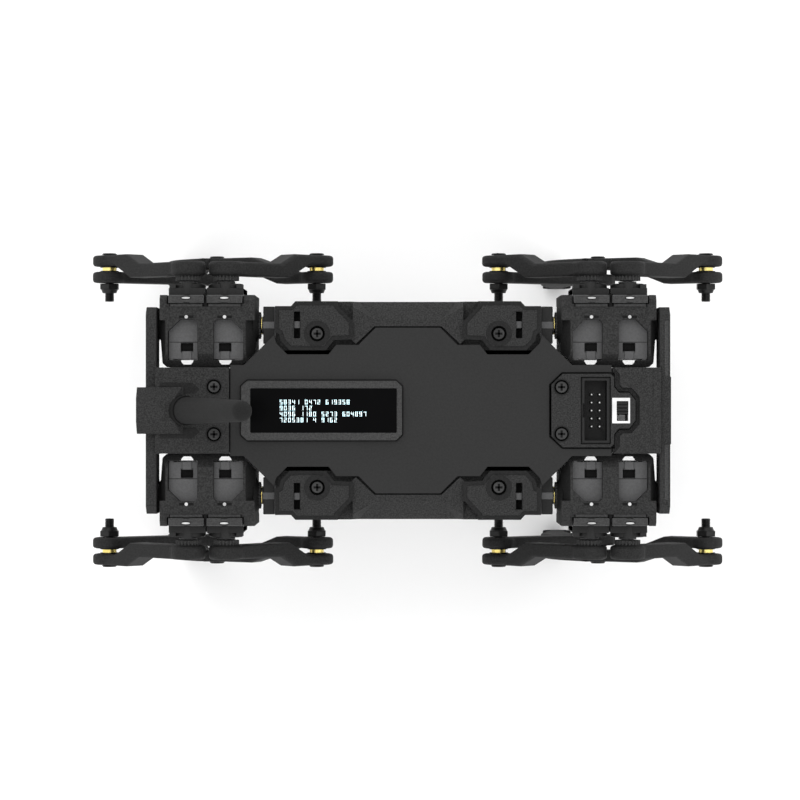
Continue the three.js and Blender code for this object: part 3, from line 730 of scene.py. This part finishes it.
def add_display():
    """Bezel, dark window and four rows of plain segment digits."""
    glass = Cluster("display_window", "body", "display_glass", "display_glass")
    glass.box((-50.2, -3.5), (-7.15, 7.15), (11.6, 12.1))
    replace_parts(glass.done(0.05), "display_module")
    # the bezel takes the lighter copy of nylon, which paints light on its raised face
    bezel = Cluster("display_bezel", "body", "nylon_lit", "nylon")
    outline = [
        (-53.1, -7.6), (-51.2, -9.45), (-3.8, -9.45), (-1.9, -7.6),
        (-1.9, 7.6), (-3.8, 9.45), (-51.2, 9.45), (-53.1, 7.6),
    ]
    window = rectangle((-50.1, -3.6), (-7.05, 7.05))
    bezel.prism("z", outline, (10.62, 12.6), [window])
    bezel.done(0.35, 3)
    stem = Cluster("display_stem", "body", "black_plastic", "black_plastic")
    stem.box((-49.3, -4.7), (-7.7, 7.7), (7.4, 11.8))
    stem.done(0.1)
    pixels = Cluster("display_digits", "body", "pixel")
    for text, y in ROWS:
        for column, digit in enumerate(text):
            if digit == " ":
                continue
            bars = digit_bars(DIGITS_LEFT + column * DIGIT_PITCH, y)
            for bar in DIGIT[digit]:
                pixels.box(*bars[bar], (12.08, 12.13))
    pixels.done()


AERIAL_LEAN = math.radians(28)
AERIAL_BASE = Vector((-72.6, 0, 11.5))
REAR_SHADE_BAND = [
    (-78.9, 7.3), (-78.9, 8.9), (-68.6, 8.9), (-66.2, 6.9), (-67.4, 5.4), (-71.4, 5.4), (-71.4, 7.3),
]
END_SLOPE_SHADE = [(77.8, 11.56), (80.5, 10.4), (80.5, 9.8), (77.8, 10.6)]


def add_end_details():
    """A painted shadow round the aerial's foot, painted shade in bands and rings on the deck's ends, painted
    highlights on the front end plate, and painted shade on the front end's sloping face.
    """
    along = Vector((math.sin(AERIAL_LEAN), 0, math.cos(AERIAL_LEAN)))
    across = Vector((math.cos(AERIAL_LEAN), 0, -math.sin(AERIAL_LEAN)))
    tilt = (along, across, Vector((0, 1, 0)))
    # a dark ring round the aerial's foot: painted shadow
    root = Cluster("aerial_root_shadow", "body", "recess_shade")
    root.ring(AERIAL_BASE, tilt, (0.5, 5.2), 4.3, 4.7, 32)
    root.done()
    # bands of painted shade on the rear deck
    band = Cluster("rear_deck_shade_bands", "body", "nylon_deep_shade", "nylon")
    for y in BOTH:
        band.prism("z", [(a, y * b) for a, b in REAR_SHADE_BAND], (11.4, 11.55))
    band.done()
    # rings of painted shade round the end covers' screws
    rings = Cluster("screw_pad_shade_rings", "body", "nylon_deep_shade", "nylon")
    for y in BOTH:
        rings.ring((-REAR_SCREW[0], y * REAR_SCREW[1], 0), "z", (11.4, 11.58), 2.3, 2.65, 32)
        rings.ring((FRONT_SCREW[0], y * FRONT_SCREW[1], 0), "z", (11.7, 11.88), 2.3, 2.65, 32)
    rings.done()
    # light bands on the front end plate: painted highlight
    highlight_strips = Cluster("end_plate_highlights", "body", "nylon_lit", "nylon")
    for y in BOTH:
        highlight_strips.box((81.7, 82.9), sorted((y * 11, y * 28.5)), (9.9, 10.12))
    highlight_strips.done(0.06)
    # a dark sheet on the front end's sloping face: painted shade
    slope_shade = Cluster("front_slope_shade", "body", "nylon_deep_shade", "nylon")
    slope_shade.prism("y", END_SLOPE_SHADE, (-13.2, 13.2))
    slope_shade.done()


UNDERSIDE = -22
COVER_FACE = UNDERSIDE - 0.7
COVER = [(34, -23), (31, -26), (-31, -26), (-34, -23), (-34, 23), (-31, 26), (31, 26), (34, 23)]
COVER_SCREW = (29.5, 21)


def add_underside():
    """The battery cover below, in the darker copy of nylon that paints shade, with its screws, and dark sheets of
    painted shade for the screws' crosses, the vents and a finger notch.
    """
    screws = [(x * COVER_SCREW[0], y * COVER_SCREW[1]) for x, y in CORNERS]
    # the cover takes the darker copy of nylon: painted shade
    cover = Cluster("battery_cover", "body", "nylon_shade", "nylon")
    seats = [circle(*screw, 2.4) for screw in screws]
    cover.prism("z", COVER, (COVER_FACE, UNDERSIDE + 0.2), seats)
    cover.done(0.3)
    heads = Cluster("cover_screws", "body", "dark_screw")
    recess_shades = Cluster("cover_screw_cross_and_vent_shades", "body", "recess_shade")
    profile = [
        (0, UNDERSIDE + 0.1), (2.0, UNDERSIDE + 0.1), (1.8, UNDERSIDE - 0.5), (0, UNDERSIDE - 0.55),
    ]
    for screw in screws:
        heads.turned((*screw, 0), "z", profile)
        recess_shades.cross("z", screw, UNDERSIDE - 0.55, 1.1)
    heads.done()
    # dark sheets of painted shade for the vents and the finger notch
    drawn = (UNDERSIDE - 0.73, UNDERSIDE - 0.6)
    for i in range(-3, 4):
        recess_shades.box(span(i * 6, 1), (-9, 9), drawn)
    recess_shades.box((-8, 8), (23.2, 24.6), drawn)
    recess_shades.done()


# ---- details on the hips and legs, in millimetres ----
HIP_SHAFT_Y = 27.3


def add_hip_details(end, side):
    """The hip servo's end, its shaft ring and the ribbed horn."""
    flip = (1 if end == "front" else -1, sign(side))
    name = f"{end}_{side}_"
    gearbox = Cluster(name + "hip_gearbox", "body", "black_plastic", "black_plastic", flip=flip)
    gearbox.box((42.6, 46.3), (21.35, 33.25), (-17.0, 6.0))
    gearbox.done(0.3)
    band = Cluster(name + "hip_gearbox_band", "body", "servo_case", "servo_case", flip=flip)
    band.box((42.7, 46.35), (26.2, 28.4), (-17.05, 6.12))
    band.done(0.1)
    ring = Cluster(name + "hip_shaft_ring", "body", "brass", flip=flip)
    ring.ring((46.9, HIP_SHAFT_Y, 0), "x", (-0.2, 0.2), 1.5, 2.75)
    ring.done(0.05)
    # the horn's ribs take the lighter copy of nylon: painted highlight
    horn = Cluster(name + "hip_horn_ribs", name + "hip", "nylon_lit", "nylon", flip=flip)
    horn.prism("x", cogged(HIP_SHAFT_Y, 0, 3.9, 4.3), (47.25, 47.85), [circle(HIP_SHAFT_Y, 0, 2.6)])
    horn.done()


SHAFT = 6.1  # each leg servo's shaft, fore or aft of the leg's middle
CASE_TOP = 5.9
CASE_BOTTOM = -16.9
EAR_TOP = 10.6
EAR_BOTTOM = -21.6
FLANGE_TOP = 8.9
FLANGE_STRIP = (33.15, 34.05)  # a raised strip across the flange, from the body's middle
GEARBOX_END = 38.6  # the gearbox's flat end, from the body's middle
UP = 1
DOWN = -1


def add_frame_details(end, side):
    """What shows on a hip frame and its two servos from above and below."""
    flip = (1 if end == "front" else -1, sign(side))
    body = f"{end}_{side}_hip"
    kit = {"origin": leg_x(end) / MM, "flip": flip}
    name = f"{end}_{side}_"
    case = Cluster(name + "servo_covers", body, "servo_case", "servo_case", **kit)
    # the gearboxes' shapes are real; their black, darker than the grey case, is painted shade
    dark = Cluster(name + "shaded_servo_gearboxes", body, "black_plastic", "black_plastic", **kit)
    recess_shade = Cluster(name + "frame_recess_shades", body, "recess_shade", **kit)
    bright = Cluster(name + "ear_screws", body, "bright_steel", **kit)
    # the lighter copy of nylon for the ear and flange strips: painted highlight
    light = Cluster(name + "frame_flange", body, "nylon_lit", "nylon", **kit)
    rings = Cluster(name + "shaft_rings", body, "servo_case", "servo_case", **kit)
    tower = Cluster(name + "shaft_towers", body, "smooth_plastic", "smooth_plastic", **kit)
    for middle in (-SHAFT, SHAFT):
        outward = 1 if middle > 0 else -1
        # the case: a dark seam across it, a clip in a notch of painted shade and the two corners of its lid
        for level, out in ((CASE_TOP, UP), (CASE_BOTTOM, DOWN)):
            recess_shade.box(span(middle, 5.7), (21.75, 21.93), sorted((level, level + out * 0.06)))
        recess_shade.box(span(middle, 2), (19.05, 21.5), (4.35, 4.5))
        case.box(span(middle, 1.45), (16.35, 18.9), (5.7, 6.4))
        for x in BOTH:
            case.box(span(middle + x * 5.0, 0.6), (15.9, 16.9), (5.2, 6.0))
        # the gearbox outboard of the ears: an end, round towers and a corner block; the end and its bosses are
        # black, darker than the grey case, as painted shade
        dark.box(span(middle, 5.85), (36.95, 39.2), (-16.95, 5.97))
        profile = [(0, GEARBOX_END), (5.6, GEARBOX_END), (5.6, 40.4), (5.2, 40.7), (0, 40.7)]
        dark.turned((middle, 0, 0), "y", profile)
        dark.turned((middle, 0, -8.5), "y", [(0, GEARBOX_END), (2.6, GEARBOX_END), (2.6, 40.3), (0, 40.3)])
        tower.turned((middle, 0, 4.1), "y", [(0, 36.9), (2.1, 36.9), (2.1, 40.9), (0, 40.9)])
        tower.turned((middle, 0, 0), "y", [(0, 40.6), (2.9, 40.6), (2.9, 41.05), (0, 41.05)])
        tower.box(sorted((middle + outward * 3.6, middle + outward * 5.6)), (38.9, 40.4), (2.5, 6.1))
        rings.ring((middle, 0, 0), "y", (41.05, 41.4), 1.2, 2.9)
        # each ear: a strip in the lighter copy of nylon, a painted highlight, with a screw hole whose dark slot is
        # painted shade
        for level, out in ((EAR_TOP, UP), (EAR_BOTTOM, DOWN)):
            light.box(span(middle, 5.5), (34.4, 36.6), sorted((level - out * 0.7, level + out * 0.15)))
            hole = oval(middle, 35.8, 1.7, 0.55, 20)
            recess_shade.prism("z", hole, sorted((level + out * 0.1, level + out * 0.18)))
            shank = oval(middle, 35.85, 1.35, 0.3, 20)
            bright.prism("z", shank, sorted((level + out * 0.1, level + out * 0.22)))
        # the frame's flange: a dark slot of painted shade with a screw, and a painted highlight strip with dark
        # ends of painted shade
        recess_shade.box(span(middle, 2.3), (29.45, 30.25), (FLANGE_TOP, 9.06))
        screw = [(0, FLANGE_TOP), (0.55, FLANGE_TOP), (0.55, 9.14), (0, 9.14)]
        bright.turned((middle, 29.85, 0), "z", screw, 12)
        light.box(span(middle, 5.1), FLANGE_STRIP, (8.6, 9.5))
        light.box(span(middle, 5.1), FLANGE_STRIP, (EAR_BOTTOM, -20.6))
        for x in BOTH:
            recess_shade.box(sorted((middle + x * 5.1, middle + x * 5.55)), (33.15, 34.3), (8.95, 9.2))
    # a dark bar of painted shade between the two servos' flange strips
    recess_shade.box((-0.75, 0.75), (33.15, 37.2), (8.95, 9.2))
    for cluster in (case, light, rings, tower):
        cluster.done(0.08)
    dark.done(0.2)
    recess_shade.done()
    bright.done()


LINK = 40  # knee to pivot


def knee_of(end, side, joint):
    """Where a knee's axis is, from the leg's middle and the hip axis."""
    place = JOINT[f"{end}_{side}_{joint}"]["pos_m"]
    return place[0] / MM - leg_x(end) / MM, (place[2] - HIP) / MM


def pivot_height(knee):
    """Height of the pivot where both links meet, from the hip axis."""
    return knee[1] - math.sqrt(LINK ** 2 - knee[0] ** 2)


GAP = (45.9, 47.5)  # between the inner and the outer link, from the body's middle
WASHER = 0.25
BOLT_ROOM = 1.55
THREAD_START = 36
THREAD_PITCH = 0.5
THREAD_CREST = 1.55
THREAD_ROOT = 1.3


def add_fasteners(body, name, kit, axis):
    """Washers and bush in the gap between two links, and the thread of the bolt, with a dark hexagon of painted
    shade for the hex hole in its end.
    """
    x, z = axis
    brass = Cluster(name + "_bush", body, "brass", **kit)
    brass.ring((x, 0, z), "y", GAP, BOLT_ROOM, 2.35, 28)
    brass.done(0.06)
    washers = Cluster(name + "_washers", body, "black_steel", "black_steel", **kit)
    for levels in ((GAP[0], GAP[0] + WASHER), (GAP[1] - WASHER, GAP[1])):
        washers.ring((x, 0, z), "y", levels, BOLT_ROOM, 3.1)
    washers.done()
    thread = Cluster(name + "_thread", body, "black_steel", "black_steel", **kit)
    profile = [(0, THREAD_START - 0.1)]
    for i in range(6):
        root = THREAD_START + i * THREAD_PITCH
        profile += [(THREAD_ROOT, root), (THREAD_CREST, root + THREAD_PITCH / 2)]
    profile += [(THREAD_ROOT, 39.0), (0, 39.0)]
    thread.turned((x, 0, z), "y", profile, 20)
    thread.done()
    # a dark hexagon on the bolt's end: painted shade in its hex hole
    socket_shade = Cluster(name + "_socket", body, "recess_shade", **kit)
    socket_shade.prism("y", circle(x, z, 1.15, 6), (51.9, 52.04))
    socket_shade.done()


def add_leg_details(end, side):
    """The fasteners of a leg's knees and pivot, and the ribbed hubs on its two shafts."""
    name = f"{end}_{side}_"
    kit = {"origin": leg_x(end) / MM, "flip": (1, sign(side))}
    fore = knee_of(end, side, "knee_fore")
    aft = knee_of(end, side, "knee_aft")
    pivot = (0, pivot_height(fore))
    add_fasteners(name + "crank_fore", name + "knee_fore", kit, fore)
    add_fasteners(name + "crank_aft", name + "knee_aft", kit, aft)
    add_fasteners(name + "lower_leg", name + "pivot", kit, pivot)
    for joint, x in (("crank_fore", SHAFT), ("crank_aft", -SHAFT)):
        body = name + joint
        # the hub's ribs take the lighter copy of nylon: painted highlight
        ribs = Cluster(body + "_hub_ribs", body, "nylon_lit", "nylon", **kit)
        ribs.prism("y", cogged(x, 0, 3.75, 4.15), (41.7, 43.35), [circle(x, 0, 2.8)])
        ribs.done()
        screw = Cluster(body + "_horn_screw", body, "dark_screw", **kit)
        screw.turned((x, 0, 0), "y", [(0, 45.6), (1.9, 45.6), (1.9, 46.6), (1.3, 47.1), (0, 47.1)], 20)
        screw.done()
        # a dark cross on the screw's head: painted shade
        recess_shade = Cluster(body + "_horn_screw_cross_shade", body, "recess_shade", **kit)
        recess_shade.cross("y", (x, 0), 47.1, 0.95, 0.22)
        recess_shade.done()


add_camera()
add_studio()
add_floor()
for name in sorted(NODES):
    if name != "display_module":
        skin = refine(name)
        if kind_of(name) == "hip_frame":
            paint_slope_shade(skin)
add_pods()
add_deck_screws()
add_connector_details()
add_display()
add_end_details()
add_underside()
for leg in LEGS:
    add_hip_details(*leg)
    add_frame_details(*leg)
    add_leg_details(*leg)
